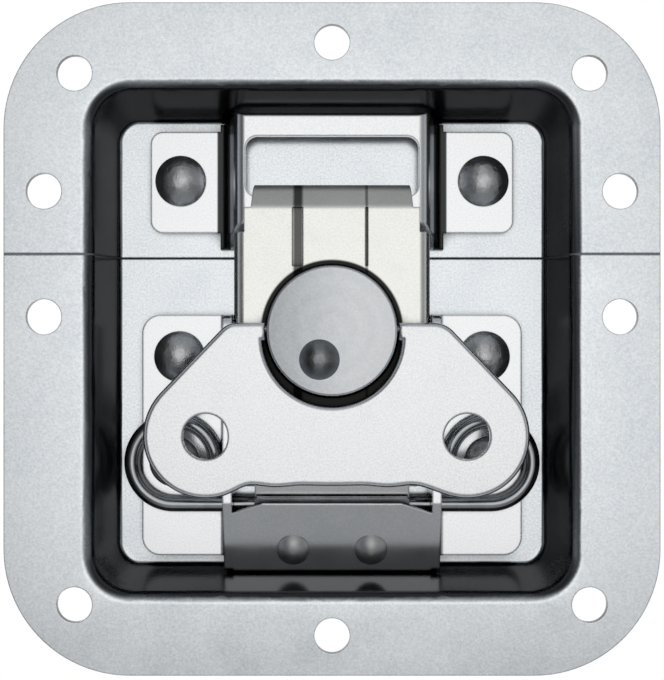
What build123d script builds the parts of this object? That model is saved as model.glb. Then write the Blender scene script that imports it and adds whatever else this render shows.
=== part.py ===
from build123d import *
import os
from math import asin, cos, hypot, pi, radians, sin, tan

# Recessed butterfly latch for a transit case.
#
# A shallow pan sits in a cut-out across the joint of lid and case.  It is pressed from one
# sheet and cut in two along that joint.  The lid half carries the keeper, a hat-shaped bridge
# with a window.  The case half carries the bracket.  A carrier swings in the bracket on the
# straight middle run of a wire spring.  On the carrier lie the draw hook and the turning disc,
# and a folding butterfly handle is hinged to the disc.  A crank rivet, set off the disc's
# centre, pushes the hook out of the keeper's window or draws it tight.
#
# Millimetres.  +Z points out of the front, +Y towards the lid, and the part lies on its back.
# The origin is under the middle of the pan, at the level of the rivet tails.

# ------------------------------------------------------------------ driving sizes: pan
pan_width = 104.0
pan_height = 106.6
pan_corner_radius = 20.0
pan_depth = 14.0              # back of the floor to the face of the flange
pan_sheet = 1.2
flange_side = 14.4            # edge of the pan to the sharp corner of the recess
flange_top = 13.4
flange_bottom = 12.9
lean_side = 1.3               # how far each wall leans in from flange to floor
lean_top = 3.6
lean_bottom = 2.9
recess_corner_radius = 6.3    # in plan, at the flange
floor_corner_radius = 3.5     # in plan, at the floor
roll_radius = 2.0             # rounded lip between flange and wall
floor_bend_radius = 0.8
split_y = 13.46               # the joint of lid and case
split_gap = 0.3

screw_hole_radius = 2.8
corner_hole_x, corner_hole_y = 40.8, 42.1
end_hole_y = 47.0
side_hole_x = 45.65
side_hole_rise = 9.95         # above and below the joint

# ------------------------------------------------------------------ driving sizes: rivets
rivet_head_radius = 4.2
rivet_head_height = 2.0
rivet_shank_radius = 2.1
rivet_tail_radius = 3.4
rivet_tail_height = 0.9
rivet_rim = 0.15              # upright part of a head, as a share of its height
tail_taper = 0.8
keeper_rivet_x, keeper_rivet_y = 25.1, 26.2
bracket_rivet_x, bracket_rivet_y = 25.3, -2.9
loop_rivet_x, loop_rivet_y = 26.1, -20.3

# ------------------------------------------------------------------ driving sizes: keeper
keeper_sheet = 1.5
keeper_height = 5.5           # floor to the top of the bridge
keeper_wing_x = 30.1
keeper_wing_low, keeper_wing_high = 17.6, 34.4
keeper_foot_x = 17.0          # underside of the walls at the floor
keeper_shoulder_x = 14.6      # underside of the walls at the bridge
keeper_foot_low, keeper_bar_low = 14.8, 19.0
keeper_foot_high, keeper_bridge_high = 34.9, 37.3
keeper_bar_edge = 23.3        # edge of the window that the hook pulls on
window_x, window_high = 14.2, 33.2
wing_corner_radius = 2.0
keeper_bend_radius = 0.8      # inside of the bridge's bends
keeper_foot_radius = 1.9
keeper_edge_radii = 2.0, 1.2, 0.6   # side view: bar, bridge end, foot

# ------------------------------------------------------------------ driving sizes: bracket
bracket_sheet = 1.5
bracket_wing_x = 31.5
bracket_high, bracket_low = 4.0, -35.9
bracket_wall_inner = 16.2
bracket_bend_radius = 0.8
bracket_wing_radius = 3.0     # corners of the wings
ear_radius = 2.0
hood_end_radius = 0.5
bracket_wall_height = 8.4     # floor to the top of the walls
hood_high = -26.55            # top edge of the sloping hood
hood_low = -38.0
hood_slope = 20.0             # degrees
hood_flat_x = 11.25           # half the straight part of the hood's top edge
hood_corner_drop = 1.6

# ------------------------------------------------------------------ driving sizes: springs
wire_radius = 1.3
wire_axis_y = -27.2
wire_loop_radius = 6.9
wire_return_radius = 2.4
wire_end_x = 13.2
wire_end_radius = 0.5
leaf_sheet = 0.6
leaf_x = 12.6
leaf_high, leaf_low = -25.8, -36.6
leaf_corner_radius = 0.5
leaf_rivet_x, leaf_rivet_y = 6.35, -34.4
leaf_rivet_head_radius = 2.65
leaf_rivet_head_height = 1.3
leaf_rivet_shank_radius = 1.4
leaf_rivet_tail_radius = 2.1
leaf_rivet_tail_height = 0.6

# ------------------------------------------------------------------ driving sizes: carrier
carrier_sheet = 1.2
carrier_x = 13.9
carrier_high = 11.0
carrier_tail_y = -24.0        # the flanges end here and the plate narrows to the knuckle
carrier_bend_y = -22.0        # the plate slopes down to the knuckle from here
knuckle_x = 12.6
knuckle_seam = 0.5            # slit where the rolled tail ends
knuckle_seam_drop = 1.2
knuckle_seam_turn = 20.0      # degrees
carrier_corner_radius = 3.0
carrier_flange_setback = 2.0  # from the front edge to the side flanges

# ------------------------------------------------------------------ driving sizes: hook
hook_sheet = 1.6
hook_x = 15.9                 # over the side flanges
hook_bend_radius = 1.8
hook_head_x = 14.2
hook_flange_high, hook_flange_low = 17.3, -18.0
hook_tail_x, hook_tail_y = 9.5, -21.0
hook_brow_y = 21.3            # where the plate turns down to the lip
hook_lip_root_x, hook_lip_tip_x = 13.1, 11.9
hook_lip_depth = 6.5          # top face to the tip of the lip
hook_brow_drop = 2.0
hook_brow_radii = 1.6, 2.1
lip_gap = 0.25                # between the lip and the edge of the keeper's window
flange_pass_gap = 1.0         # ahead of the bar when the flanges pass over it
groove_depth = 0.7
groove_low = 11.8
groove_left, groove_right = (-6.4, -4.7), (5.4, 5.8)
hook_stroke = 7.4

# ------------------------------------------------------------------ driving sizes: disc, handle
disc_y = 1.3
disc_radius = 9.75
disc_thickness = 2.5
disc_flange_width = 1.45
disc_flange_thickness = 0.4
disc_rim_radius = 0.35
spigot_radius = 3.0
crank_x, crank_y = -2.0, -4.58     # crank rivet from the disc's centre
crank_radius = 2.0
crank_head_radius = 3.23
crank_head_height = 1.1
crank_head_rim = 0.1
washer_radius = 5.6
washer_thickness = 0.8
peen_radius = 3.8
peen_height = 0.5
peen_taper = 0.75
washer_chamfer = 0.2

handle_thickness = 1.8
handle_lift = 0.3             # above the disc's flange
handle_top_y = 2.6
handle_edge_radius = 0.8
notch_side_gap = 0.85         # beside the disc
notch_round_gap = 1.35        # round the disc's lower half
notch_round_drop = 1.0        # centre of the round below the disc's
notch_step_y = -0.3
lobe_x, lobe_y, lobe_radius = 21.1, -15.5, 10.0
lobe_start = 43.0             # degrees, where the shoulder meets the lobe
waist_y = -23.5               # middle of the wavy lower edge
waist_points = (13.0, -23.4), (9.5, -23.7), (6.0, -23.5)
finger_hole_y = -15.6
finger_hole_radius = 3.83
shoulder_x = 17.6             # where the top edge meets the slanting shoulder
shoulder_radius = 4.0
hinge_pin_radius = 0.6
hinge_setback = 0.1
hinge_pin_in_disc = 2.0
hinge_bore_extra = 0.2        # bore past the pin's end
hinge_pin_in_handle = 2.5

# ------------------------------------------------------------------ clearances
slide_gap = 0.2               # sheets that slide over each other
running_gap = 0.08            # round a pin that turns
rest_gap = 0.05               # under the wire
wire_window_gap = 0.3         # round the axle run, where it passes the bracket's walls
leg_window_gap = 0.7          # round the inner leg, which curves as it passes
window_rise = 1.2
crank_gap = 0.15
hook_over_bar = 1.5           # hook plate above the keeper's bar, room for the brow

# ------------------------------------------------------------------ levels
floor_back = rivet_tail_height
floor_front = floor_back + pan_sheet
flange_front = floor_back + pan_depth
flange_back = flange_front - pan_sheet
keeper_top = floor_front + keeper_height
bracket_wing_top = floor_front + bracket_sheet
bracket_top = floor_front + bracket_wall_height
wire_z = bracket_wing_top + wire_radius + rest_gap
hook_bottom = keeper_top + hook_over_bar
hook_top = hook_bottom + hook_sheet
carrier_top = hook_bottom - 2 * slide_gap
carrier_bottom = carrier_top - carrier_sheet
washer_bottom = carrier_bottom - slide_gap - washer_thickness
flange_disc_bottom = hook_top + slide_gap
disc_bottom = flange_disc_bottom + disc_flange_thickness
disc_top = disc_bottom + disc_thickness
handle_bottom = disc_bottom + handle_lift
disc_flange_radius = disc_radius + disc_flange_width
notch_x = disc_radius + notch_side_gap
notch_round_y = disc_y - notch_round_drop
notch_round_radius = disc_radius + notch_round_gap
hinge_y = handle_top_y - handle_thickness / 2 - hinge_setback
hinge_z = handle_bottom + handle_thickness / 2
wire_clear = wire_z + wire_radius + slide_gap

bracket_wall_outer = bracket_wall_inner + bracket_sheet
knuckle_bore = wire_radius + running_gap
knuckle_radius = knuckle_bore + carrier_sheet
wire_leg_y = wire_axis_y + wire_loop_radius - wire_return_radius


def save(piece, name):
    """Label a finished piece and write its STEP file."""
    piece.part.label = name
    export_step(piece.part, f"parts/{name}.step")


def dome_radius(half_width, height):
    """Radius of the arc over a dome."""
    return (half_width ** 2 + height ** 2) / (2 * height)


def across(y):
    """Upright plane across the latch at y: local x is X, local y is Z, normal -Y."""
    return Plane.XZ.offset(-y)


near = 0.01                   # tolerance for finding a face or an edge by its place
trim_block = 10.0, 20.0       # block that cuts a narrower tail

os.makedirs("parts", exist_ok=True)


# ================================================================== pan
def recess_outline(height, grow):
    """Rounded outline of the recess at a height, grown outwards by the sheet."""
    drop = (flange_front - height) / (flange_front - floor_front)
    half_width = pan_width / 2 - flange_side - drop * lean_side + grow
    high = pan_height / 2 - flange_top - drop * lean_top + grow
    low = -pan_height / 2 + flange_bottom + drop * lean_bottom - grow
    radius = recess_corner_radius + drop * (floor_corner_radius - recess_corner_radius) + grow
    with Locations((0, (high + low) / 2)):
        RectangleRounded(2 * half_width, high - low, radius)


with BuildPart() as pan:
    with BuildSketch(Plane.XY.offset(flange_back)):
        RectangleRounded(pan_width, pan_height, pan_corner_radius)
    extrude(amount=pan_sheet)
    for level in (floor_back, flange_back):
        with BuildSketch(Plane.XY.offset(level)):
            recess_outline(level, pan_sheet)
    loft(ruled=True)
    for level in (floor_front, flange_front):
        with BuildSketch(Plane.XY.offset(level)):
            recess_outline(level, 0)
    loft(ruled=True, mode=Mode.SUBTRACT)
    face = pan.faces().sort_by(Axis.Z)[-1]
    fillet(face.inner_wires()[0].edges(), roll_radius)
    under_flange = pan.faces().filter_by(Axis.Z).filter_by_position(
        Axis.Z, flange_back - near, flange_back + near)
    fillet(under_flange[0].inner_wires()[0].edges(), roll_radius - pan_sheet)
    floor = pan.faces().filter_by(Axis.Z).filter_by_position(
        Axis.Z, floor_front - near, floor_front + near)
    fillet(floor[0].outer_wire().edges(), floor_bend_radius)
    fillet(pan.faces().sort_by(Axis.Z)[0].outer_wire().edges(), floor_bend_radius + pan_sheet)
    with Locations(*[(side * x, y, flange_front) for side in (-1, 1) for x, y in (
            (corner_hole_x, corner_hole_y), (corner_hole_x, -corner_hole_y),
            (side_hole_x, split_y + side_hole_rise), (side_hole_x, split_y - side_hole_rise))],
            (0, end_hole_y, flange_front), (0, -end_hole_y, flange_front)):
        Hole(screw_hole_radius)
    with Locations(*[(side * x, y, floor_front) for side in (-1, 1) for x, y in (
            (keeper_rivet_x, keeper_rivet_y), (bracket_rivet_x, bracket_rivet_y),
            (loop_rivet_x, loop_rivet_y))]):
        Hole(rivet_shank_radius)

with BuildPart() as upper_dish:
    add(pan.part)
    split(bisect_by=across(split_y + split_gap / 2), keep=Keep.BOTTOM)
save(upper_dish, "upper_dish")

with BuildPart() as lower_dish:
    add(pan.part)
    split(bisect_by=across(split_y - split_gap / 2), keep=Keep.TOP)
save(lower_dish, "lower_dish")


# ================================================================== rivets
def make_rivet(seat, head_radius, head_height, shank_radius, grip, tail_radius, tail_height):
    """Domed rivet.  The seat plane lies under the head, with its normal out of the head."""
    with BuildPart() as rivet:
        section = Plane(origin=seat.origin, x_dir=seat.x_dir, z_dir=-seat.y_dir)
        with BuildSketch(section):
            with BuildLine():
                top = (0, head_height)
                rim = (head_radius, rivet_rim * head_height)
                RadiusArc(top, rim, dome_radius(head_radius, (1 - rivet_rim) * head_height))
                Polyline(rim, (head_radius, 0), (shank_radius, 0), (shank_radius, -grip),
                         (tail_radius, -grip), (tail_radius, -grip - 0.5 * tail_height),
                         (tail_taper * tail_radius, -grip - tail_height), (0, -grip - tail_height), top)
            make_face()
        revolve(axis=Axis(seat.origin, seat.z_dir))
    return rivet


for side_name, side in (("left", -1), ("right", 1)):
    for name, x, y, seat_z in (
            ("keeper_rivet", keeper_rivet_x, keeper_rivet_y, floor_front + keeper_sheet),
            ("bracket_rivet", bracket_rivet_x, bracket_rivet_y, bracket_wing_top),
            ("loop_rivet", loop_rivet_x, loop_rivet_y, bracket_wing_top)):
        rivet = make_rivet(
            Plane(origin=(side * x, y, seat_z)), rivet_head_radius, rivet_head_height,
            rivet_shank_radius, seat_z - floor_back, rivet_tail_radius, rivet_tail_height)
        save(rivet, f"{name}_{side_name}")

# ================================================================== keeper
with BuildPart() as keeper:
    # Hat-shaped section, drawn along its underside and thickened upwards.
    with BuildSketch(across(keeper_bridge_high)):
        with BuildLine():
            FilletPolyline(
                (-keeper_wing_x, floor_front), (-keeper_foot_x, floor_front),
                (-keeper_shoulder_x, keeper_top - keeper_sheet),
                (keeper_shoulder_x, keeper_top - keeper_sheet),
                (keeper_foot_x, floor_front), (keeper_wing_x, floor_front),
                radius=[keeper_foot_radius, keeper_bend_radius, keeper_bend_radius,
                        keeper_foot_radius])
            offset(amount=keeper_sheet, side=Side.LEFT)
        make_face()
    extrude(amount=keeper_bridge_high - keeper_foot_low)
    # Plan of the wings, with the bridge running past them at both ends.
    with BuildSketch():
        with Locations((0, (keeper_wing_low + keeper_wing_high) / 2)):
            RectangleRounded(2 * keeper_wing_x, keeper_wing_high - keeper_wing_low,
                             wing_corner_radius)
        with Locations((0, (keeper_foot_low + keeper_bridge_high) / 2)):
            Rectangle(2 * (keeper_foot_x + keeper_sheet), keeper_bridge_high - keeper_foot_low)
    extrude(amount=2 * keeper_top, mode=Mode.INTERSECT)
    # Side view: both ends of the walls slope.
    with BuildSketch(Plane.YZ):
        with BuildLine():
            FilletPolyline(
                (keeper_foot_low, floor_front), (keeper_foot_low, floor_front + keeper_sheet),
                (keeper_bar_low, keeper_top), (keeper_bridge_high, keeper_top),
                (keeper_foot_high, floor_front), radius=[0, *keeper_edge_radii, 0], close=True)
        make_face()
    extrude(amount=keeper_wing_x, both=True, mode=Mode.INTERSECT)
    with BuildSketch(Plane.XY.offset(floor_front)):
        with Locations((0, (keeper_bar_edge + window_high) / 2)):
            RectangleRounded(2 * window_x, window_high - keeper_bar_edge, wing_corner_radius)
    extrude(amount=keeper_height, mode=Mode.SUBTRACT)
    with Locations(*[(side * keeper_rivet_x, keeper_rivet_y, keeper_top) for side in (-1, 1)]):
        Hole(rivet_shank_radius)
save(keeper, "keeper")

# ================================================================== bracket
hood_fall = tan(radians(hood_slope))
hood_skin = bracket_sheet / cos(radians(hood_slope))
hood_low_top = bracket_top - (hood_high - hood_low) * hood_fall

with BuildPart() as base_bracket:
    # Wings, with the space between the walls left open down to the pan.
    with BuildSketch(Plane.XY.offset(floor_front)):
        with Locations((0, (bracket_high + bracket_low) / 2)):
            RectangleRounded(2 * bracket_wing_x, bracket_high - bracket_low, bracket_wing_radius)
            Rectangle(2 * bracket_wall_inner, bracket_high - bracket_low, mode=Mode.SUBTRACT)
    extrude(amount=bracket_sheet)
    # Walls, seen from the side: rounded ears at the front, the hood's slope at the back.
    with BuildSketch(Plane.YZ.offset(bracket_wall_inner)):
        with BuildLine():
            FilletPolyline(
                (bracket_high, floor_front), (bracket_high, bracket_top),
                (hood_high, bracket_top), (hood_low, hood_low_top),
                (bracket_low, floor_front), radius=[0, ear_radius, 0, hood_end_radius, 0],
                close=True)
        make_face()
    extrude(amount=bracket_sheet)
    outer_bend = base_bracket.edges().filter_by(Axis.Y).filter_by_position(
        Axis.X, bracket_wall_outer - near, bracket_wall_outer + near).filter_by_position(
        Axis.Z, bracket_wing_top - near, bracket_wing_top + near)
    fillet(outer_bend, bracket_bend_radius)
    # Windows for the wire's axle run and for its inner leg.
    with BuildSketch(Plane.YZ.offset(bracket_wall_inner)):
        with Locations((wire_axis_y, wire_z)):
            SlotCenterToCenter(window_rise, 2 * (wire_radius + wire_window_gap), rotation=90)
        with Locations((wire_leg_y, wire_z)):
            SlotCenterToCenter(window_rise, 2 * (wire_radius + leg_window_gap), rotation=90)
    extrude(amount=bracket_sheet + bracket_bend_radius, mode=Mode.SUBTRACT)
    mirror(about=Plane.YZ)
    # Hood across the walls, with its top corners cut back.
    with BuildSketch(Plane.YZ):
        with BuildLine():
            Polyline(
                (hood_high, bracket_top), (hood_low, hood_low_top),
                (hood_low + hood_skin * sin(radians(hood_slope)) * cos(radians(hood_slope)),
                 hood_low_top - bracket_sheet * cos(radians(hood_slope))),
                (hood_high, bracket_top - hood_skin), close=True)
        make_face()
    extrude(amount=bracket_wall_inner, both=True)
    with BuildSketch(Plane.XY.offset(floor_front)):
        with BuildLine():
            Polyline((hood_flat_x, hood_high), (bracket_wall_inner, hood_high - hood_corner_drop),
                     (bracket_wall_inner, hood_high), close=True)
        make_face()
        mirror(about=Plane.YZ)
    extrude(amount=bracket_wall_height, mode=Mode.SUBTRACT)
    with Locations(*[(side * x, y, bracket_wing_top) for side in (-1, 1) for x, y in (
            (bracket_rivet_x, bracket_rivet_y), (loop_rivet_x, loop_rivet_y))]):
        Hole(rivet_shank_radius)
    hood_rivet_top = bracket_top - (hood_high - leaf_rivet_y) * hood_fall
    hood_seats = [
        Plane(origin=(side * leaf_rivet_x, leaf_rivet_y, hood_rivet_top), x_dir=(1, 0, 0),
              z_dir=(0, -sin(radians(hood_slope)), cos(radians(hood_slope))))
        for side in (-1, 1)]
    for seat in hood_seats:
        with BuildSketch(seat):
            Circle(leaf_rivet_shank_radius)
        extrude(amount=-2 * bracket_sheet, mode=Mode.SUBTRACT)
save(base_bracket, "base_bracket")

# ================================================================== leaf spring under the hood
with BuildPart() as leaf_spring:
    leaf_plane = Plane(
        origin=(0, hood_high, bracket_top - hood_skin), x_dir=(1, 0, 0),
        z_dir=(0, -sin(radians(hood_slope)), cos(radians(hood_slope))))
    leaf_cos = cos(radians(hood_slope))
    with BuildSketch(leaf_plane):
        with Locations((0, ((leaf_high + leaf_low) / 2 - hood_high) / leaf_cos)):
            RectangleRounded(2 * leaf_x, (leaf_high - leaf_low) / leaf_cos, leaf_corner_radius)
    extrude(amount=-leaf_sheet)
    for seat in hood_seats:
        with BuildSketch(seat):
            Circle(leaf_rivet_shank_radius)
        extrude(amount=-2 * (bracket_sheet + leaf_sheet), mode=Mode.SUBTRACT)
save(leaf_spring, "leaf_spring")

for side_name, seat in zip(("left", "right"), hood_seats):
    rivet = make_rivet(
        seat, leaf_rivet_head_radius, leaf_rivet_head_height, leaf_rivet_shank_radius,
        bracket_sheet + leaf_sheet, leaf_rivet_tail_radius, leaf_rivet_tail_height)
    save(rivet, f"leaf_rivet_{side_name}")

# ================================================================== wire spring
with BuildPart() as wire_spring:
    with BuildLine(Plane.XY.offset(wire_z)) as wire_path:
        axle_run = Line((0, wire_axis_y), (loop_rivet_x, wire_axis_y))
        loop = JernArc(start=axle_run @ 1, tangent=axle_run % 1, radius=wire_loop_radius,
                       arc_size=270)
        turn_in = JernArc(start=loop @ 1, tangent=loop % 1, radius=wire_return_radius,
                          arc_size=-90)
        Line(turn_in @ 1, (wire_end_x, wire_leg_y))
    with BuildSketch(Plane(origin=(0, wire_axis_y, wire_z), z_dir=(1, 0, 0))):
        Circle(wire_radius)
    sweep(path=wire_path.wire())
    tip = wire_spring.faces().filter_by(Axis.X).filter_by_position(
        Axis.X, wire_end_x - near, wire_end_x + near)
    fillet(tip[0].edges(), wire_end_radius)
    mirror(about=Plane.YZ)
save(wire_spring, "wire_spring")

# ================================================================== carrier
with BuildPart() as carrier:
    # Plate, seen from the side, sloping down to the knuckle rolled round the wire.
    with BuildSketch(Plane.YZ):
        with BuildLine():
            Polyline((carrier_high, carrier_top), (carrier_bend_y, carrier_top),
                     (wire_axis_y, wire_z + knuckle_radius))
            offset(amount=carrier_sheet, side=Side.LEFT)
        make_face()
        with Locations((wire_axis_y, wire_z)):
            Circle(knuckle_radius)
            Circle(knuckle_bore, mode=Mode.SUBTRACT)
        with Locations((wire_axis_y + knuckle_radius, wire_z - knuckle_seam_drop)):
            Rectangle(2 * carrier_sheet, knuckle_seam, rotation=knuckle_seam_turn, mode=Mode.SUBTRACT)
    extrude(amount=carrier_x, both=True)
    # Side flanges, bent down beside the plate.
    flange_end = carrier_high - carrier_flange_setback
    with BuildSketch(Plane.YZ.offset(carrier_x - carrier_sheet)):
        with BuildLine():
            FilletPolyline(
                (flange_end, carrier_top), (flange_end, wire_clear),
                (carrier_tail_y, wire_clear), (carrier_tail_y, carrier_bottom),
                (carrier_bend_y, carrier_top), radius=[0, 1.0, 0, 0, 0], close=True)
        make_face()
    extrude(amount=carrier_sheet)
    mirror(about=Plane.YZ)
    # The tail is narrower than the plate.
    with BuildSketch(Plane.XY):
        for side in (-1, 1):
            with Locations((side * knuckle_x, carrier_tail_y)):
                Rectangle(*trim_block, align=(Align.MAX if side < 0 else Align.MIN, Align.MAX))
    extrude(amount=hook_top, mode=Mode.SUBTRACT)
    with Locations((0, disc_y, carrier_top)):
        Hole(spigot_radius + running_gap)
    front_corners = carrier.edges().filter_by(Axis.Z).filter_by_position(
        Axis.Y, carrier_high - near, carrier_high + near)
    fillet(front_corners, carrier_corner_radius)
save(carrier, "carrier")

# ================================================================== disc, washer, crank rivet
crank_throw = hypot(crank_x, crank_y)
crank_start = asin(crank_y / crank_throw)

with BuildPart() as cam_disc:
    with BuildSketch(across(disc_y)):
        with BuildLine():
            Polyline(
                (0, disc_top), (disc_radius, disc_top), (disc_radius, disc_bottom),
                (disc_flange_radius, disc_bottom), (disc_flange_radius, flange_disc_bottom),
                (spigot_radius, flange_disc_bottom), (spigot_radius, washer_bottom),
                (peen_radius, washer_bottom), (peen_taper * peen_radius, washer_bottom - peen_height),
                (0, washer_bottom - peen_height), close=True)
        make_face()
    revolve(axis=Axis((0, disc_y, 0), (0, 0, 1)))
    rim = cam_disc.edges().filter_by(GeomType.CIRCLE).sort_by(Axis.Z)[-1]
    fillet(rim, disc_rim_radius)
    with Locations((crank_x, disc_y + crank_y, disc_top)):
        Hole(crank_radius, depth=disc_top - flange_disc_bottom)
    bore_start = disc_radius - hinge_pin_in_disc - hinge_bore_extra
    with BuildSketch(Plane.YZ.offset(bore_start)):
        with Locations((hinge_y, hinge_z)):
            Circle(hinge_pin_radius + running_gap)
    extrude(amount=disc_flange_radius - bore_start, mode=Mode.SUBTRACT)
    with BuildSketch(Plane.YZ.offset(-bore_start)):
        with Locations((hinge_y, hinge_z)):
            Circle(hinge_pin_radius + running_gap)
    extrude(amount=-(disc_flange_radius - bore_start), mode=Mode.SUBTRACT)
save(cam_disc, "cam_disc")

with BuildPart() as cam_washer:
    # Washer under the carrier, held by the spigot's peened end.
    with BuildSketch(Plane.XY.offset(washer_bottom)):
        with Locations((0, disc_y)):
            Circle(washer_radius)
            Circle(spigot_radius, mode=Mode.SUBTRACT)
    extrude(amount=washer_thickness)
    chamfer(cam_washer.edges().filter_by(GeomType.CIRCLE).group_by(SortBy.RADIUS)[-1],
            washer_chamfer)
save(cam_washer, "cam_washer")

with BuildPart() as crank_rivet:
    with BuildSketch(across(disc_y + crank_y)):
        with BuildLine():
            top = (crank_x, disc_top + crank_head_height)
            rim = (crank_x + crank_head_radius, disc_top + crank_head_rim)
            RadiusArc(top, rim, dome_radius(crank_head_radius, crank_head_height - crank_head_rim))
            Polyline(rim, (crank_x + crank_head_radius, disc_top),
                     (crank_x + crank_radius, disc_top),
                     (crank_x + crank_radius, hook_bottom - slide_gap),
                     (crank_x, hook_bottom - slide_gap), top)
        make_face()
    revolve(axis=Axis((crank_x, disc_y + crank_y, 0), (0, 0, 1)))
save(crank_rivet, "crank_rivet")

# ================================================================== hook
# The hook moves in step with the disc, while the crank rises and falls as it turns, so the
# crank's slot is taller than the crank by the largest difference between the two.
half_turn = [radians(step) for step in range(181)]
crank_rise = [crank_throw * (sin(pi - crank_start + turn) - sin(crank_start)) for turn in half_turn]
crank_slack = max(abs(rise - hook_stroke * turn / pi)
                  for rise, turn in zip(crank_rise, half_turn))
crank_slot_high = 2 * (crank_radius + crank_slack + crank_gap)
crank_slot_left = crank_x - crank_radius - 2 * crank_gap
crank_slot_right = crank_throw + crank_radius + 2 * crank_gap
spigot_slot = spigot_radius + slide_gap

with BuildPart() as hook_arm:
    # Plate and lip, seen from the side: over the keeper's bar and down into its window.
    lip_face = keeper_bar_edge + lip_gap + hook_sheet
    with BuildSketch(Plane.YZ):
        with BuildLine():
            FilletPolyline(
                (hook_tail_y, hook_top), (hook_brow_y, hook_top),
                (lip_face, hook_top - hook_brow_drop), (lip_face, hook_top - hook_lip_depth),
                radius=hook_brow_radii)
            offset(amount=hook_sheet, side=Side.RIGHT)
        make_face()
    extrude(amount=hook_head_x, both=True)
    # The lip tapers to its tip, and the tail is narrow.
    with BuildSketch(across(hook_brow_y)):
        with BuildLine():
            Polyline(
                (hook_head_x + 1, hook_top - near), (hook_lip_root_x, hook_top - near),
                (hook_lip_tip_x, hook_top - hook_lip_depth), (hook_lip_tip_x, 0),
                (hook_head_x + 1, 0), close=True)
        make_face()
        mirror(about=Plane.YZ)
    extrude(amount=-hook_head_x, mode=Mode.SUBTRACT)
    with BuildSketch(Plane.XY):
        for side in (-1, 1):
            with Locations((side * hook_tail_x, hook_flange_low)):
                Rectangle(*trim_block, align=(Align.MAX if side < 0 else Align.MIN, Align.MAX))
    extrude(amount=hook_top, mode=Mode.SUBTRACT)
    # Channel with side flanges.
    with BuildSketch(across(hook_flange_high)):
        with BuildLine():
            FilletPolyline(
                (-hook_x, wire_clear), (-hook_x, hook_top), (hook_x, hook_top),
                (hook_x, wire_clear), radius=hook_bend_radius)
            offset(amount=hook_sheet, side=Side.RIGHT)
        make_face()
    extrude(amount=hook_flange_high - hook_flange_low)
    # The flanges taper forwards, to pass over the keeper's bar at full stroke.
    pass_y, pass_z = keeper_bar_low - hook_stroke - flange_pass_gap, keeper_top + slide_gap
    flange_slope = (hook_bottom - pass_z) / (hook_flange_high - pass_y)
    taper_low = pass_y - (pass_z - wire_clear) / flange_slope
    with BuildSketch(Plane.YZ):
        with BuildLine():
            Polyline(
                (hook_flange_high + 1, 0), (hook_flange_high + 1, hook_bottom),
                (hook_flange_high, hook_bottom), (taper_low, wire_clear), (taper_low, 0),
                close=True)
        make_face()
    extrude(amount=hook_x, both=True, mode=Mode.SUBTRACT)
    # Slot for the spigot, and across it the slot for the crank rivet.
    with BuildSketch(Plane.XY.offset(hook_bottom - 1)):
        with Locations((0, disc_y - hook_stroke / 2)):
            RectangleRounded(2 * spigot_slot, 2 * spigot_slot + hook_stroke, spigot_slot - near)
        with Locations(((crank_slot_left + crank_slot_right) / 2, disc_y + crank_y)):
            RectangleRounded(crank_slot_right - crank_slot_left, crank_slot_high, crank_radius)
    extrude(amount=hook_sheet + 2, mode=Mode.SUBTRACT)
    # Two grooves along the head, the left one wide.
    with BuildSketch(Plane.XY.offset(hook_top)):
        for left, right in (groove_left, groove_right):
            with Locations(((left + right) / 2, (groove_low + hook_brow_y) / 2)):
                Rectangle(right - left, hook_brow_y - groove_low)
    extrude(amount=-groove_depth, mode=Mode.SUBTRACT)
save(hook_arm, "hook_arm")

# ================================================================== handle
with BuildPart() as butterfly_handle:
    with BuildSketch(Plane.XY.offset(handle_bottom)):
        with BuildLine():
            # Right half of the outline: shoulder, lobe and the wavy lower edge.
            shoulder_end = (lobe_x + lobe_radius * cos(radians(lobe_start)),
                            lobe_y + lobe_radius * sin(radians(lobe_start)))
            FilletPolyline(
                (0, handle_top_y), (shoulder_x, handle_top_y), shoulder_end,
                radius=shoulder_radius)
            lobe = CenterArc((lobe_x, lobe_y), lobe_radius, lobe_start, -100 - lobe_start)
            Spline(lobe @ 1, *waist_points, (0, waist_y), tangents=[lobe % 1, (-1, 0)])
            Line((0, waist_y), (0, handle_top_y))
        make_face()
        mirror(about=Plane.YZ)
        # Notch round the disc, and the finger holes.
        with Locations((0, (handle_top_y + notch_step_y) / 2)):
            Rectangle(2 * notch_x, handle_top_y - notch_step_y, mode=Mode.SUBTRACT)
        with BuildLine():
            notch_arc_x = (notch_round_radius ** 2 - (notch_step_y - notch_round_y) ** 2) ** 0.5
            RadiusArc((-notch_arc_x, notch_step_y), (notch_arc_x, notch_step_y),
                      -notch_round_radius)
            Line((-notch_arc_x, notch_step_y), (notch_arc_x, notch_step_y))
        make_face(mode=Mode.SUBTRACT)
        with Locations((-lobe_x, finger_hole_y), (lobe_x, finger_hole_y)):
            Circle(finger_hole_radius, mode=Mode.SUBTRACT)
    extrude(amount=handle_thickness)
    fillet(butterfly_handle.edges().filter_by(Plane.XY), handle_edge_radius)
    for side in (-1, 1):
        with BuildSketch(Plane.YZ.offset(side * (notch_x - 0.5))):
            with Locations((hinge_y, hinge_z)):
                Circle(hinge_pin_radius)
        extrude(amount=side * (hinge_pin_in_handle + 0.5), mode=Mode.SUBTRACT)
save(butterfly_handle, "butterfly_handle")

for side_name, side in (("left", -1), ("right", 1)):
    with BuildPart() as hinge_pin:
        with BuildSketch(Plane.YZ.offset(side * (disc_radius - hinge_pin_in_disc))):
            with Locations((hinge_y, hinge_z)):
                Circle(hinge_pin_radius)
        extrude(amount=side * (notch_x + hinge_pin_in_handle - disc_radius + hinge_pin_in_disc))
    save(hinge_pin, f"hinge_pin_{side_name}")
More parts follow.
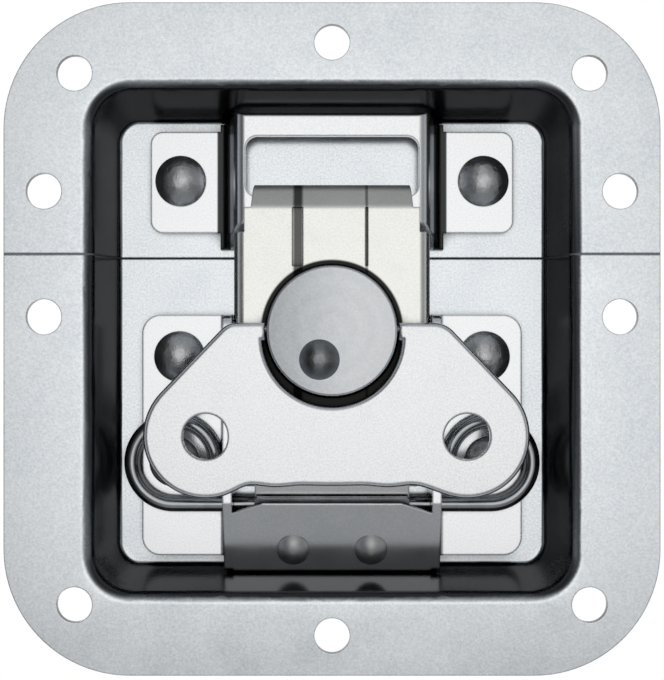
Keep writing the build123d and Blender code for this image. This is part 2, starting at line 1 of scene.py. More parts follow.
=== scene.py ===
# %% [markdown]
# # A recessed butterfly latch
# A shallow pan of zinc-plated sheet steel lies on its back. One half carries a keeper, the
# other half a bracket, a wire spring, a draw hook, a turning disc and a folding butterfly
# handle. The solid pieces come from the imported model, so this script gives them their
# finishes, adds the small details that a stamping or a rivet has, and lights the whole.

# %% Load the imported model
import math

import bmesh
import bpy
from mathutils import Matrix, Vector


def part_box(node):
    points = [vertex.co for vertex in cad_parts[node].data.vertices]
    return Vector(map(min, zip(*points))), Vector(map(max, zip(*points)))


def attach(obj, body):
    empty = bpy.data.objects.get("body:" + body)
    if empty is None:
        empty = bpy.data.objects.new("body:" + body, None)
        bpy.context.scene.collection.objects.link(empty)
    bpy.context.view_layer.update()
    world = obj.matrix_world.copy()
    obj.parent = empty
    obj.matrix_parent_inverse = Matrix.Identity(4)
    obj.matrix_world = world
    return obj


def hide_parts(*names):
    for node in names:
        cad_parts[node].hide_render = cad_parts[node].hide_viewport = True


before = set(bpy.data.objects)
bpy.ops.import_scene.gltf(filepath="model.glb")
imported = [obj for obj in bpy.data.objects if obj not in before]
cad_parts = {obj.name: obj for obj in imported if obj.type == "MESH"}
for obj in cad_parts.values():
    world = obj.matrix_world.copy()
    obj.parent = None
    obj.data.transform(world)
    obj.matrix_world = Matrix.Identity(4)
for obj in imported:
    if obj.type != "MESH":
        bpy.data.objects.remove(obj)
nodes = dict(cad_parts)     # a finer copy takes its node's place in here
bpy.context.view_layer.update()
flange_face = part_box("upper_dish")[1].z

# %% [markdown]
# ## Small helpers
# Blender works in metres, so lengths are written in millimetres or micrometres, times MM or
# UM. Colours are written as sRGB hex values, the way a paint chart or a picker gives them,
# and Blender's shaders want linear values, so one function converts. A second one adds a
# shader node with its settings and its links in a single line, which keeps the materials
# readable. The last two start a material and give it to the pieces that it finishes.

# %% Units, colour and node helpers
MM = 0.001
UM = 1e-6
SAME_POINT = 1e-7               # vertices closer together than this are one


def linear(hex_colour):
    """sRGB hex, such as 'E4E9EC', to a linear RGBA tuple."""
    channels = [int(hex_colour[i:i + 2], 16) / 255 for i in (0, 2, 4)]
    return tuple(c / 12.92 if c <= 0.04045 else ((c + 0.055) / 1.055) ** 2.4
                 for c in channels) + (1.0,)


def add_node(tree, kind, settings=None, **links):
    """Adds a node. settings holds attributes or socket values, links holds socket=output."""
    node = tree.nodes.new(kind)
    for key, value in (settings or {}).items():
        if hasattr(node, key):
            setattr(node, key, value)
        else:
            node.inputs[int(key) if key.isdigit() else key].default_value = value
    for key, output in links.items():
        socket = node.inputs[int(key[1:])] if key[0] == "i" and key[1:].isdigit() else (
            node.inputs[key.replace("_", " ")])
        tree.links.new(output, socket)
    return node


def new_material(name):
    """A material and its node tree, which is empty and ready for a shader."""
    material = bpy.data.materials.new(name)
    material.use_nodes = True
    material.node_tree.nodes.clear()
    return material, material.node_tree


def finish_with(material, *names):
    """Gives CAD nodes, or the finer copies that stand for them, one material."""
    for name in names:
        mesh = nodes[name].data
        mesh.materials.clear()
        mesh.materials.append(material)
    print(material.name, "on", len(names), "pieces")


# %% [markdown]
# ## Shared places
# A finish that belongs to one spot, such as the painted shade round the disc, has to know where
# that spot is. The imported model is measured for it, so the place can't drift from the piece.
# Only the bend of the hook's head isn't at the edge of a node, so it is given.

# %% Places that several finishes need
disc_low, disc_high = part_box("cam_disc")
disc_centre = (disc_low + disc_high) / 2
disc_radius = (disc_high.x - disc_low.x) / 2
head_edge = 21.4 * MM           # where the hook's head bends down into its lip
print("disc radius", round(disc_radius / MM, 2), "mm at", disc_centre)

# %% [markdown]
# ## Pieces drawn a little finer
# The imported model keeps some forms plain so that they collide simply, and four of its nodes
# are drawn finer here: both halves of the pan, the disc and the handle. They could be modelled
# anew, but then every hole and seat would have to be matched again. So each starts as a merged
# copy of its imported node, which keeps those true, and a small move of some of its vertices
# does the rest. Weighted normals keep the broad flats level where they meet a smooth bend.

# %% Start and finish of a finer copy
crisp_angle = math.radians(28)  # edges that turn more than this stay crisp


def finer_copy(name, source, body, move):
    """A copy of a node whose vertices pass through move(co)."""
    shape = bmesh.new()
    shape.from_mesh(nodes[source].data)
    bmesh.ops.remove_doubles(shape, verts=shape.verts, dist=SAME_POINT)
    for vert in shape.verts:
        vert.co = move(vert.co.copy())
    bmesh.ops.recalc_face_normals(shape, faces=shape.faces)
    for face in shape.faces:
        face.smooth = True
    mesh = bpy.data.meshes.new(name)
    shape.to_mesh(mesh)
    shape.free()
    mesh.set_sharp_from_angle(angle=crisp_angle)
    piece = bpy.data.objects.new(name, mesh)
    bpy.context.scene.collection.objects.link(piece)
    level = piece.modifiers.new("level_flats", "WEIGHTED_NORMAL")
    level.keep_sharp = True
    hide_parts(source)
    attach(piece, body)
    nodes[source] = piece
    print(name, "stands for", source, "with", len(mesh.vertices), "vertices")


def between(value, low, high):
    """0 at low and 1 at high, smoothly."""
    share = min(max((value - low) / (high - low), 0.0), 1.0)
    return share * share * (3 - 2 * share)


# %% [markdown]
# ## Leaning walls
# The walls of a drawn pan lean out, or it would stick on the punch. Here the foot of each
# side wall moves in and its top moves out, in step with the height, while the middle of the
# floor and the screw holes in the corners stay where they are. A smooth step joins the two,
# so that no crease shows where the move begins.

# %% Leaning walls of the pan
pan_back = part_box("lower_dish")[0].z
floor_still, wall_low, wall_high = 29 * MM, 35.5 * MM, 41.9 * MM    # out from the middle
wall_end = 43.5 * MM
corner_hole, hole_reach = Vector((40.8, 42.1)) * MM, 3.1 * MM
foot_inwards, top_from_foot = 0.9, 1.4                              # both in mm


def lean(co):
    """A vertex of the pan, moved if it is in a side wall."""
    side = abs(co.x)
    by_hole = (Vector((side, abs(co.y))) - corner_hole).length < hole_reach
    if side < wall_high and abs(co.y) < wall_end and not by_hole:
        share = (co.z - pan_back) / (flange_face - pan_back)
        reach = between(side, floor_still, wall_low)
        co.x += math.copysign(1.0, co.x) * reach * (top_from_foot * share - foot_inwards) * MM
    return co


finer_copy("pan_upper_half", "upper_dish", "pan", lean)
finer_copy("pan_lower_half", "lower_dish", "pan", lean)

# %% [markdown]
# ## Wider face of the disc
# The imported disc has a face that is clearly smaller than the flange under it. The turned one
# has a wide face over a slim flange, so two rings of vertices are told apart by their distance
# from the axis, and one is scaled up and the other down.

# %% Wider face of the disc
face_rim, flange_rim = 9.0 * MM, 9.85 * MM      # the smallest radius of each ring
face_growth, flange_growth = 1.067, 0.968


def widen(co):
    """A vertex of the disc, moved if it is on the rim of the face or of the flange."""
    out = Vector((co.x - disc_centre.x, co.y - disc_centre.y))
    if face_rim < out.length < flange_rim:
        out *= face_growth
    elif out.length > flange_rim:
        out *= flange_growth
    co.x, co.y = disc_centre.x + out.x, disc_centre.y + out.y
    return co


finer_copy("turned_disc", "cam_disc", "cam", widen)

# %% [markdown]
# ## Finger holes and lobes of the handle
# The finger holes are punched, so their edges are crisp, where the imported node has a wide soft
# edge. That edge is drawn together, both across and in height. The two lobes also stand a
# little over to the right, so the vertices beyond the neck move, again with a smooth step.

# %% Crisp finger holes, and lobes set over to the right
hole_centres = (Vector((-21.1, -15.6)) * MM, Vector((21.1, -15.6)) * MM)
bore_radius, soft_edge = 3.83 * MM, 0.8 * MM
crisp_radius, crisp_edge = 3.66 * MM, 0.3 * MM
edge_slack = 0.05 * MM
handle_low, handle_high = (corner.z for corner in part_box("butterfly_handle"))
left_lobe_move, right_lobe_move = 0.9 * MM, 0.5 * MM
neck_end, lobe_start = 12 * MM, 19 * MM         # out from the middle


def sharpen(co):
    """A vertex of the handle, moved if it is at a finger hole or in a lobe."""
    for centre in hole_centres:
        out = Vector((co.x, co.y)) - centre
        if out.length < bore_radius + soft_edge + edge_slack:
            share = crisp_edge / soft_edge
            out *= (crisp_radius + (out.length - bore_radius) * share) / out.length
            co.x, co.y = centre.x + out.x, centre.y + out.y
            if co.z > (handle_low + handle_high) / 2:
                co.z = handle_high - (handle_high - co.z) * share
            else:
                co.z = handle_low + (co.z - handle_low) * share
    if co.x < 0:
        co.x += left_lobe_move * between(-co.x, neck_end, lobe_start)
    else:
        co.x += right_lobe_move * between(co.x, neck_end, lobe_start)
    return co


finer_copy("folding_handle", "butterfly_handle", "handle", sharpen)

# %% [markdown]
# ## Painted shade in the corners
# Shade falls where two pieces meet: round the edge of each pressing that lies on the pan, in
# the gap round the disc and under the handle. That shade is painted into the colour here. An
# Ambient Occlusion node finds those corners from the shapes themselves, and a Map Range node
# turns its answer into a darker colour.

# %% Painted shade in corners
tight_corner, open_face = 0.2, 0.75     # the node's answer in a corner and in the open


def darken(tree, colour, factor):
    """The colour times a factor from another node."""
    return add_node(tree, "ShaderNodeMix", {
        "data_type": "RGBA", "blend_type": "MULTIPLY", "0": 1.0},
        i6=colour, i7=factor).outputs[2]


def paint_corner_shade(tree, colour, reach_mm, darkest):
    """The colour, darkened as painted shade where other surfaces stand within reach."""
    hollow = add_node(tree, "ShaderNodeAmbientOcclusion", {
        "samples": 8, "Distance": reach_mm * MM})
    depth = add_node(tree, "ShaderNodeMapRange", {
        "From Min": tight_corner, "From Max": open_face, "To Min": darkest},
        Value=hollow.outputs["AO"])
    return darken(tree, colour, depth.outputs[0])


# %% [markdown]
# ## Painted wall shade
# The walls of the pan are painted dark, as painted shade and a painted dark reflection of the
# room round the latch. The walls are the faces whose normal points towards the middle of the
# latch, so the dot product of the normal and of the way out from the middle picks them, and
# the rounded bends at both ends fade by themselves.

# %% Painted wall shade
wall_facing, bend_facing = -0.62, -0.12     # the dot product on a wall and past its bend
wall_darkest = 0.06


def paint_wall_shade(tree, where, colour, satin):
    """Darkens the faces of the pan that look inwards, as painted shade."""
    # painted shade on the walls of the pan
    flat = add_node(tree, "ShaderNodeVectorMath", {
        "operation": "MULTIPLY", "1": (1, 1, 0)}, i0=where)
    outwards = add_node(tree, "ShaderNodeVectorMath", {"operation": "NORMALIZE"},
                        i0=flat.outputs[0])
    normal = add_node(tree, "ShaderNodeNewGeometry").outputs["Normal"]
    facing = add_node(tree, "ShaderNodeVectorMath", {"operation": "DOT_PRODUCT"},
                      i0=outwards.outputs[0], i1=normal)
    steep = add_node(tree, "ShaderNodeMapRange", {
        "interpolation_type": "SMOOTHSTEP", "From Min": wall_facing,
        "From Max": bend_facing, "To Min": wall_darkest}, Value=facing.outputs["Value"])
    return darken(tree, colour, steep.outputs[0]), satin


# %% [markdown]
# ## Painted shade and a rubbed lip on the hook and the keeper
# The hook's two grooves are painted dark as shade, and so is the narrow gap round the disc,
# which is painted widest on its near side. The lip rubs on the keeper each time the latch
# closes, so it is satin and not bright. The foot of the keeper's walls is painted dark as shade.
# Each mark is a soft band at a measured place, made by Map Range nodes on the position.

# %% Bands, and distance from the disc
def band(tree, value, middle, half_width, soft, darkest):
    """A factor that is darkest within half_width of a place, and 1 away from it."""
    from_middle = add_node(tree, "ShaderNodeMath", {"operation": "SUBTRACT", "1": middle},
                           i0=value)
    away = add_node(tree, "ShaderNodeMath", {"operation": "ABSOLUTE"}, i0=from_middle.outputs[0])
    return add_node(tree, "ShaderNodeMapRange", {
        "interpolation_type": "SMOOTHSTEP", "From Min": half_width, "From Max": half_width + soft,
        "To Min": darkest}, Value=away.outputs[0]).outputs[0]


def about_disc(tree, where):
    """A place measured from the disc's axis, and its distance from that axis."""
    centred = add_node(tree, "ShaderNodeMapping", {
        "Location": (-disc_centre.x, -disc_centre.y, 0)}, Vector=where).outputs[0]
    flat = add_node(tree, "ShaderNodeVectorMath", {
        "operation": "MULTIPLY", "1": (1, 1, 0)}, i0=centred)
    reach = add_node(tree, "ShaderNodeVectorMath", {"operation": "LENGTH"}, i0=flat.outputs[0])
    return centred, reach.outputs["Value"]


# %% Painted shade and rubbed lip on the hook and the keeper
left_groove_shade = (-5.5 * MM, 0.45 * MM, 0.6 * MM, 0.14)    # middle, half width, soft, darkest
right_groove_shade = (5.6 * MM, 0.1 * MM, 0.25 * MM, 0.4)
keeper_foot_shade = (17.9 * MM, 0.95 * MM, 0.35 * MM, 0.05)
gap_shade_beside, gap_shade_near = 0.15 * MM, 2.2 * MM        # how far the painted gap shade goes past the disc
near_side = 7 * MM                                      # where it has grown to the second
gap_shade_edge, gap_shade_darkest = 0.3 * MM, 0.03
lip_edge, lip_rubbed = 0.5 * MM, 0.3                    # the second is added roughness


def hook_shade_and_rubbed_lip(tree, where, colour, satin):
    """Painted shade in the grooves and round the disc, and a lip that is rubbed satin."""
    parts = add_node(tree, "ShaderNodeSeparateXYZ", Vector=where)
    x, y = parts.outputs["X"], parts.outputs["Y"]
    # painted shade in the hook's two grooves
    colour = darken(tree, colour, band(tree, x, *left_groove_shade))
    colour = darken(tree, colour, band(tree, x, *right_groove_shade))
    _, reach = about_disc(tree, where)
    # painted shadow in the gap round the disc, widest on its near side
    gap = add_node(tree, "ShaderNodeMapRange", {
        "From Min": disc_centre.y, "From Max": disc_centre.y - near_side,
        "To Min": disc_radius + gap_shade_beside, "To Max": disc_radius + gap_shade_near}, Value=y)
    past = add_node(tree, "ShaderNodeMath", {"operation": "SUBTRACT"},
                    i0=reach, i1=gap.outputs[0])
    gap_shade = add_node(tree, "ShaderNodeMapRange", {
        "From Min": 0.0, "From Max": gap_shade_edge, "To Min": gap_shade_darkest},
        Value=past.outputs[0])
    lip = add_node(tree, "ShaderNodeMapRange", {
        "From Min": head_edge, "From Max": head_edge + lip_edge, "To Min": 0.0,
        "To Max": lip_rubbed}, Value=y)
    satin = add_node(tree, "ShaderNodeMath", {"operation": "ADD"}, i0=satin, i1=lip.outputs[0])
    return darken(tree, colour, gap_shade.outputs[0]), satin.outputs[0]


def keeper_foot_painted_shade(tree, where, colour, satin):
    """Painted shade at the foot of the keeper's walls, the same on both sides."""
    parts = add_node(tree, "ShaderNodeSeparateXYZ", Vector=where)
    away = add_node(tree, "ShaderNodeMath", {"operation": "ABSOLUTE"}, i0=parts.outputs["X"])
    # painted shade at the foot of the keeper's walls
    return darken(tree, colour, band(tree, away.outputs[0], *keeper_foot_shade)), satin


# %% [markdown]
# ## Zinc plate on pressed steel
# Bright zinc is a metal mirror that is slightly rough: the crystals of the plating scatter
# the reflection, and rolling leaves broad, faint clouds. So the shader is fully metallic, its
# colour and roughness wander a little at two scales, and a very low bump gives the grain. The
# real grain is finer than the render can show, so it is drawn at about 0.3 mm. A Bevel node
# rounds the shading of every cut edge, as deburring does on the real sheet, with no change to
# the mesh.

# %% A plated sheet, used for each of the stampings
grain_weight = 1.2                          # the fine grain against the broad clouds
blend_dark, blend_light = 0.65, 1.45        # the range that the sum of both seldom leaves
cloud_low, cloud_high = 0.3, 0.7


def plated_sheet(name, dark, light, roughness, scatter, cloud_mm, grain_mm, grain_um, edge_mm,
                 corner_shade_mm, corner_shade, extra=None):
    """Zinc plate with painted corner shade; extra adds one piece's own painted shade and rubbing.
    """
    material, tree = new_material(name)
    where = add_node(tree, "ShaderNodeTexCoord").outputs["Object"]
    clouds = add_node(tree, "ShaderNodeTexNoise", {
        "Scale": 1 / (cloud_mm * MM), "Detail": 4.0, "Roughness": 0.55}, Vector=where)
    grain = add_node(tree, "ShaderNodeTexNoise", {
        "Scale": 1 / (grain_mm * MM), "Detail": 2.0, "Roughness": 0.5}, Vector=where)
    blend = add_node(tree, "ShaderNodeMath", {"operation": "MULTIPLY_ADD", "1": grain_weight},
                     i0=grain.outputs["Fac"], i2=clouds.outputs["Fac"])
    tone = add_node(tree, "ShaderNodeMapRange", {
        "From Min": blend_dark, "From Max": blend_light}, Value=blend.outputs[0])
    colour = add_node(tree, "ShaderNodeMix", {
        "data_type": "RGBA", "6": linear(dark), "7": linear(light)}, i0=tone.outputs[0])
    gloss = add_node(tree, "ShaderNodeMapRange", {
        "From Min": cloud_low, "From Max": cloud_high, "To Min": roughness - scatter,
        "To Max": roughness + scatter}, Value=clouds.outputs["Fac"])
    rounding = add_node(tree, "ShaderNodeBevel", {"samples": 6, "Radius": edge_mm * MM})
    bump = add_node(tree, "ShaderNodeBump", {
        "Strength": 1.0, "Distance": grain_um * UM},
        Height=grain.outputs["Fac"], Normal=rounding.outputs[0])
    # painted shade darkens the colour in the corners
    shade, satin = paint_corner_shade(tree, colour.outputs[2], corner_shade_mm, corner_shade), gloss.outputs[0]
    if extra:
        shade, satin = extra(tree, where, shade, satin)
    metal = add_node(tree, "ShaderNodeBsdfPrincipled", {"Metallic": 1.0},
                     Base_Color=shade, Roughness=satin, Normal=bump.outputs[0])
    add_node(tree, "ShaderNodeOutputMaterial", Surface=metal.outputs[0])
    return material


# %% [markdown]
# ## Five finishes for the stampings
# All were plated in one bath, but each has its own look. The pan was drawn deepest and is the
# coolest and darkest. The keeper, the bracket and the carrier are small and bright, with well
# rounded cut edges. The hook is rubbed most, so its grain stands out most, and the handle gets
# the lightest painted shade in its corners.

# %% Finishes of the stampings
small_pressing = {"dark": "ECF0F3", "light": "FFFFFF", "roughness": 0.19, "scatter": 0.03,
                  "cloud_mm": 6, "grain_mm": 0.3, "grain_um": 2, "edge_mm": 0.45,
                  "corner_shade_mm": 1.5, "corner_shade": 0.3}

pan_zinc = plated_sheet(
    "pressed_zinc_sheet", "D3DADF", "FAFDFF", roughness=0.20, scatter=0.03, cloud_mm=9,
    grain_mm=0.35, grain_um=2.2, edge_mm=0.25, corner_shade_mm=2.5, corner_shade=0.15, extra=paint_wall_shade)
keeper_zinc = plated_sheet("keeper_zinc_plate", extra=keeper_foot_painted_shade, **small_pressing)
pressing_zinc = plated_sheet("bright_zinc_pressing", **small_pressing)
hook_zinc = plated_sheet(
    "hook_zinc_plate", "ECECE6", "FFFFFB", roughness=0.22, scatter=0.05, cloud_mm=5,
    grain_mm=0.28, grain_um=3.5, edge_mm=0.3, corner_shade_mm=2.5, corner_shade=0.12, extra=hook_shade_and_rubbed_lip)
handle_zinc = plated_sheet(
    "handle_zinc_plate", "DDE1E4", "FFFFFF", roughness=0.21, scatter=0.04, cloud_mm=7,
    grain_mm=0.28, grain_um=3, edge_mm=0.3, corner_shade_mm=1.2, corner_shade=0.4)

finish_with(pan_zinc, "upper_dish", "lower_dish")
finish_with(keeper_zinc, "keeper")
finish_with(pressing_zinc, "base_bracket", "carrier")
finish_with(hook_zinc, "hook_arm")
finish_with(handle_zinc, "butterfly_handle")

# %% [markdown]
# ## Turned disc
# The disc is turned on a lathe, which leaves faint rings round its centre, and plated. A wave
# texture centred on the disc gives those rings and a noise texture gives the speckle of the
# plate. Both drive the tone and a very low bump, and both are drawn coarser than the real
# ones, which wouldn't show. The face is painted lighter on its right and darker on its left,
# as painted light and shade, and the skirt below the face is painted almost black as shade.

# %% Turned steel
ring_step = 0.5 * MM            # the rings' wave goes on by one radian in this
wave_factor = 20                # what the wave texture multiplies its scale with
ring_weight = 0.15              # the rings against the speckle
speck_size = 0.4 * MM
side_light_full = 0.4 * disc_radius
skirt_shade_start, skirt_shade_full = disc_radius - 0.9 * MM, disc_radius - 0.6 * MM
ring_height = 1 * UM
turned_edge = 0.25 * MM


def turned_steel():
    material, tree = new_material("turned_plated_steel")
    where = add_node(tree, "ShaderNodeTexCoord").outputs["Object"]
    centred, reach = about_disc(tree, where)
    rings = add_node(tree, "ShaderNodeTexWave", {
        "wave_type": "RINGS", "rings_direction": "Z", "Scale": 1 / ring_step / wave_factor,
        "Distortion": 1.0, "Detail": 3.0, "Detail Scale": 3.0}, Vector=centred)
    speck = add_node(tree, "ShaderNodeTexNoise", {
        "Scale": 1 / speck_size, "Detail": 3.0}, Vector=where)
    tone = add_node(tree, "ShaderNodeMath", {"operation": "MULTIPLY_ADD", "1": ring_weight},
                    i0=rings.outputs["Fac"], i2=speck.outputs["Fac"])
    parts = add_node(tree, "ShaderNodeSeparateXYZ", Vector=centred)
    # painted light and shade: the face is lighter on its right, darker on its left
    painted_side_light = add_node(tree, "ShaderNodeMapRange", {
        "interpolation_type": "SMOOTHSTEP", "From Min": -disc_radius,
        "From Max": side_light_full}, Value=parts.outputs["X"])
    shaded_face_tone = add_node(tree, "ShaderNodeMix", {
        "data_type": "RGBA", "6": linear("9EA1A4"), "7": linear("C6C9CC")}, i0=tone.outputs[0])
    lit_face_tone = add_node(tree, "ShaderNodeMix", {
        "data_type": "RGBA", "6": linear("CED1D4"), "7": linear("E6E8EA")}, i0=tone.outputs[0])
    face = add_node(tree, "ShaderNodeMix", {"data_type": "RGBA"},
                    i0=painted_side_light.outputs[0], i6=shaded_face_tone.outputs[2], i7=lit_face_tone.outputs[2])
    # painted shade: the skirt below the face is almost black
    skirt_shade = add_node(tree, "ShaderNodeMapRange", {
        "From Min": skirt_shade_start, "From Max": skirt_shade_full}, Value=reach)
    colour = add_node(tree, "ShaderNodeMix", {"data_type": "RGBA", "7": linear("2C2F32")},
                      i0=skirt_shade.outputs[0], i6=face.outputs[2])
    rounding = add_node(tree, "ShaderNodeBevel", {"samples": 6, "Radius": turned_edge})
    bump = add_node(tree, "ShaderNodeBump", {"Distance": ring_height},
                    Height=tone.outputs[0], Normal=rounding.outputs[0])
    # painted shade darkens the colour in the corners round the disc
    metal = add_node(tree, "ShaderNodeBsdfPrincipled", {"Metallic": 1.0, "Roughness": 0.28},
                     Base_Color=paint_corner_shade(tree, colour.outputs[2], reach_mm=1.2, darkest=0.3),
                     Normal=bump.outputs[0])
    add_node(tree, "ShaderNodeOutputMaterial", Surface=metal.outputs[0])
    return material


finish_with(turned_steel(), "cam_disc", "cam_washer")

# %% [markdown]
# ## Polished rivets and spring wire
# Rivet heads are struck by a die that leaves shallow dents, so their domes mirror the room in
# broken patches. The crank and the hinge pins are smoother and darker, the springs are drawn
# bright, and the two pips that hold the leaf spring are dull. All are one metal shader with a
# thin clear coat, as oil leaves, and each has its own colours, roughness and dents.

# %% Polished steel
die_edge = 0.15 * MM
corner_shade_reach = 1.2                        # mm
gloss_low, gloss_high = 0.7, 1.3        # the roughness wanders between these shares of it


def polished_steel(name, dark, light, roughness, cloud_mm, dent_um, corner_shade):
    """Steel whose colour, gloss and dents all follow one cloudy noise."""
    material, tree = new_material(name)
    where = add_node(tree, "ShaderNodeTexCoord").outputs["Object"]
    clouds = add_node(tree, "ShaderNodeTexNoise", {
        "Scale": 1 / (cloud_mm * MM), "Detail": 5.0, "Roughness": 0.6}, Vector=where)
    colour = add_node(tree, "ShaderNodeMix", {
        "data_type": "RGBA", "6": linear(dark), "7": linear(light)}, i0=clouds.outputs["Fac"])
    gloss = add_node(tree, "ShaderNodeMapRange", {
        "To Min": roughness * gloss_low, "To Max": roughness * gloss_high},
        Value=clouds.outputs["Fac"])
    rounding = add_node(tree, "ShaderNodeBevel", {"samples": 6, "Radius": die_edge})
    bump = add_node(tree, "ShaderNodeBump", {"Distance": dent_um * UM},
                    Height=clouds.outputs["Fac"], Normal=rounding.outputs[0])
    # painted shade darkens the colour in the corners
    metal = add_node(tree, "ShaderNodeBsdfPrincipled", {
        "Metallic": 1.0, "Coat Weight": 0.3, "Coat Roughness": 0.08},
        Base_Color=paint_corner_shade(tree, colour.outputs[2], corner_shade_reach, corner_shade),
        Roughness=gloss.outputs[0], Normal=bump.outputs[0])
    add_node(tree, "ShaderNodeOutputMaterial", Surface=metal.outputs[0])
    return material


rivet_steel = polished_steel("polished_rivet_steel", "A8ABAE", "F0F1F2", roughness=0.3,
                             cloud_mm=2.6, dent_um=220, corner_shade=0.4)
crank_steel = polished_steel("polished_crank_steel", "5C5F62", "A4A7AA", roughness=0.16,
                             cloud_mm=1.6, dent_um=60, corner_shade=0.3)
spring_wire = polished_steel("bright_spring_wire", "9A9DA0", "D2D5D7", roughness=0.16,
                             cloud_mm=2.5, dent_um=10, corner_shade=0.15)
pip_steel = polished_steel("pip_steel", "B0B2B2", "E2E4E4", roughness=0.42,
                           cloud_mm=1.5, dent_um=30, corner_shade=0.5)

finish_with(rivet_steel, "keeper_rivet_left", "keeper_rivet_right", "bracket_rivet_left",
            "bracket_rivet_right", "loop_rivet_left", "loop_rivet_right")
finish_with(crank_steel, "crank_rivet", "hinge_pin_left", "hinge_pin_right")
finish_with(spring_wire, "wire_spring", "leaf_spring")
finish_with(pip_steel, "leaf_rivet_left", "leaf_rivet_right")

# %% [markdown]
# ## The joint across the pan
# The two halves of the pan meet edge to edge, and a dark strip fills the hair-thin gap as
# painted shade. The gap's shape is the section of the sheet itself, so a bisecting plane cuts
# that section out of a copy of the lower half, and one extrusion carries it across the gap.

# %% Joint shade strip
cut_inside = 0.03 * MM          # the cut is this far inside the sheet's edge
strip_below = 0.06 * MM          # the strip stays this far below the sheet's face


def make_joint_shade_strip():
    """Painted shade between the halves of the pan, as one thin closed strip."""
    lower_edge, upper_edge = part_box("lower_dish")[1].y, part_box("upper_dish")[0].y
    strip = bmesh.new()
    strip.from_mesh(nodes["lower_dish"].data)
    bmesh.ops.remove_doubles(strip, verts=strip.verts, dist=SAME_POINT)
    bmesh.ops.bisect_plane(
        strip, geom=strip.verts[:] + strip.edges[:] + strip.faces[:], dist=SAME_POINT,
        plane_co=(0, lower_edge - cut_inside, 0), plane_no=(0, 1, 0),
        clear_inner=True, clear_outer=True)
    for face in strip.faces[:]:
        strip.faces.remove(face)
    bmesh.ops.remove_doubles(strip, verts=strip.verts, dist=1 * UM)
    section = bmesh.ops.contextual_create(strip, geom=strip.edges[:])["faces"]
    bmesh.ops.translate(strip, verts=strip.verts, vec=(0, cut_inside, -strip_below))
    grown = bmesh.ops.extrude_face_region(strip, geom=section)
    bmesh.ops.translate(
        strip, vec=(0, upper_edge - lower_edge, 0),
        verts=[item for item in grown["geom"] if isinstance(item, bmesh.types.BMVert)])
    bmesh.ops.recalc_face_normals(strip, faces=strip.faces)
    mesh = bpy.data.meshes.new("joint_shade_strip")
    strip.to_mesh(mesh)
    strip.free()
    piece = bpy.data.objects.new("joint_shade_strip", mesh)
    bpy.context.scene.collection.objects.link(piece)
    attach(piece, "pan")
    print("joint", round((upper_edge - lower_edge) / MM, 2), "mm wide,",
          len(mesh.polygons), "faces")
    return piece


# a dark strip across the joint, as painted shade
joint = make_joint_shade_strip()

# %% [markdown]
# ## Painted joint shade
# The strip mirrors nothing, so the material is a plain rough one. Its colour is painted
# shade that follows the height: almost black deep in the gap, and a paler grey on the flange.

# %% Joint shade
pale_depth = 1.5 * MM
mottle_size = 1.5 * MM


def painted_joint_shade():
    material, tree = new_material("painted_joint_shade")
    where = add_node(tree, "ShaderNodeTexCoord").outputs["Object"]
    mottle = add_node(tree, "ShaderNodeTexNoise", {
        "Scale": 1 / mottle_size, "Detail": 4.0}, Vector=where)
    parts = add_node(tree, "ShaderNodeSeparateXYZ", Vector=where)
    # painted shade: paler towards the flange, almost black deep in the gap
    toward_flange = add_node(tree, "ShaderNodeMapRange", {
        "From Min": flange_face - pale_depth, "From Max": flange_face},
        Value=parts.outputs["Z"])
    deep_shade = add_node(tree, "ShaderNodeMix", {
        "data_type": "RGBA", "6": linear("2E3134"), "7": linear("50555A")},
        i0=mottle.outputs["Fac"])
    colour = add_node(tree, "ShaderNodeMix", {"data_type": "RGBA", "7": linear("A4A9AE")},
                      i0=toward_flange.outputs[0], i6=deep_shade.outputs[2])
    strip_surface = add_node(tree, "ShaderNodeBsdfPrincipled", {"Roughness": 0.9},
                    Base_Color=colour.outputs[2])
    add_node(tree, "ShaderNodeOutputMaterial", Surface=strip_surface.outputs[0])
    return material


joint.data.materials.append(painted_joint_shade())

# %% [markdown]
# ## Floor
# The latch lies on a large sheet of white paper, which has to look evenly white all round it.
# For the rays that come from the camera or from a mirror, the paper is mostly a light of its
# own, and only a faint shadow is left on it. All other rays meet plain matt paper, so the
# light that it throws back onto the metal stays natural.

# %% Floor
floor_half = 6.0                # metres
even_share, even_light = 0.92, 1.06


def pale_floor():
    """White paper under the latch, staged and so not a piece of the model."""
    mesh = bpy.data.meshes.new("floor")
    sheet = bmesh.new()
    bmesh.ops.create_grid(sheet, x_segments=1, y_segments=1, size=floor_half)
    sheet.to_mesh(mesh)
    sheet.free()
    floor = bpy.data.objects.new("floor", mesh)
    bpy.context.scene.collection.objects.link(floor)
    material, tree = new_material("white_paper")
    rays = add_node(tree, "ShaderNodeLightPath")
    seen = add_node(tree, "ShaderNodeMath", {"operation": "MAXIMUM"},
                    i0=rays.outputs["Is Camera Ray"], i1=rays.outputs["Is Glossy Ray"])
    seen = add_node(tree, "ShaderNodeMath", {"operation": "MAXIMUM"},
                    i0=seen.outputs[0], i1=rays.outputs["Is Transmission Ray"])
    share = add_node(tree, "ShaderNodeMath", {"operation": "MULTIPLY", "1": even_share},
                     i0=seen.outputs[0])
    paper = add_node(tree, "ShaderNodeBsdfDiffuse", {"Color": linear("FAFAFA")})
    white = add_node(tree, "ShaderNodeEmission", {
        "Color": linear("FFFFFF"), "Strength": even_light})
    both = add_node(tree, "ShaderNodeMixShader", i0=share.outputs[0], i1=paper.outputs[0],
                    i2=white.outputs[0])
    add_node(tree, "ShaderNodeOutputMaterial", Surface=both.outputs[0])
    mesh.materials.append(material)
    print("floor", 2 * floor_half, "m wide")


pale_floor()

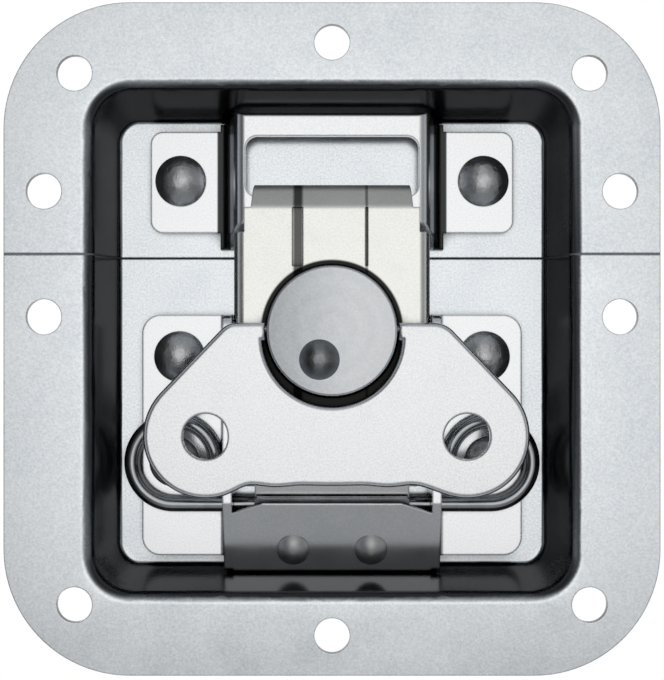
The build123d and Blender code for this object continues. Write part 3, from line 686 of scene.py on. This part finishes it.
# %% [markdown]
# ## Studio
# Metal shows the room more than its own colour, so the room is the most important light. Lamps
# would leave hard shapes in the domes of the rivets, so the room is painted on the world
# instead. Its light is a soft box overhead, which is one ramp across the latch times one along
# it, so its edges fade in both directions. A cool glow that grows towards the horizon is added
# for the steep walls and for low views.

# %% Soft box
def level_ramp(tree, factor, stops):
    """A ramp from a direction's part, -1 to 1, to a light level."""
    place = add_node(tree, "ShaderNodeMapRange", {"From Min": -1.0}, Value=factor)
    ramp = add_node(tree, "ShaderNodeValToRGB", Fac=place.outputs[0])
    ends = ramp.color_ramp.elements
    for end, (part, level) in ((ends[0], stops[0]), (ends[1], stops[-1])):
        end.position, end.color = (part + 1) / 2, (level, level, level, 1)
    for part, level in stops[1:-1]:
        ends.new((part + 1) / 2).color = (level, level, level, 1)
    return ramp.outputs[0]


# Each stop is a part of the direction, from -1 to 1, and the light level there.
across_box = [(-1.0, 0.05), (-0.6, 0.06), (-0.454, 0.14), (-0.309, 0.32), (-0.216, 0.9),
              (-0.12, 1.0), (0.12, 1.0), (0.216, 0.93), (0.309, 0.55), (0.6, 0.24),
              (0.84, 0.14), (1.0, 0.1)]
along_box = [(-1.0, 0.04), (-0.93, 0.05), (-0.74, 0.17), (-0.63, 0.26), (-0.4, 0.38),
             (-0.215, 0.52), (-0.165, 0.9), (-0.12, 1.0), (0.14, 1.0), (0.342, 0.66),
             (0.545, 0.49), (0.72, 0.37), (0.866, 0.09), (0.94, 0.015), (1.0, 0.01)]

# %% Room
glow_top = 0.79                 # the part of the direction, upwards, where the glow ends


def studio():
    world = bpy.data.worlds.new("studio")
    bpy.context.scene.world = world
    world.use_nodes = True
    tree = world.node_tree
    tree.nodes.clear()
    direction = add_node(tree, "ShaderNodeTexCoord").outputs["Generated"]
    parts = add_node(tree, "ShaderNodeSeparateXYZ", Vector=direction)
    box = darken(tree, level_ramp(tree, parts.outputs["X"], across_box),
                 level_ramp(tree, parts.outputs["Y"], along_box))
    rim = add_node(tree, "ShaderNodeMapRange", {
        "From Min": 0.0, "From Max": glow_top, "To Min": 1.0, "To Max": 0.0},
        Value=parts.outputs["Z"])
    walls = add_node(tree, "ShaderNodeMix", {
        "data_type": "RGBA", "6": linear("000000"), "7": linear("C2C9D2")},
        i0=rim.outputs[0])
    room = add_node(tree, "ShaderNodeMix", {
        "data_type": "RGBA", "blend_type": "ADD", "0": 1.0},
        i6=box, i7=walls.outputs[2])
    glow = add_node(tree, "ShaderNodeBackground", {"Strength": 1.0}, Color=room.outputs[2])
    add_node(tree, "ShaderNodeOutputWorld", Surface=glow.outputs[0])
    print("soft box of", len(across_box), "by", len(along_box), "stops")


studio()

# %% [markdown]
# ## Camera
# The latch is seen from straight above and from close by, so near pieces look a little larger
# than far ones. The lens angle is worked out from the width that the frame covers at the face
# of the flange.

# %% Camera
camera_height = 230 * MM        # above the face of the flange
camera_down = 0.16 * MM
seen_width = 105.1 * MM

camera = bpy.data.cameras.new("camera")
camera.sensor_fit = "HORIZONTAL"
camera.angle = 2 * math.atan(seen_width / 2 / camera_height)
camera_object = bpy.data.objects.new("camera", camera)
camera_object.location = (0.0, -camera_down, flange_face + camera_height)
bpy.context.scene.collection.objects.link(camera_object)
bpy.context.scene.camera = camera_object
bpy.context.scene.view_settings.view_transform = "Standard"
print("lens", round(camera.lens, 2), "mm")
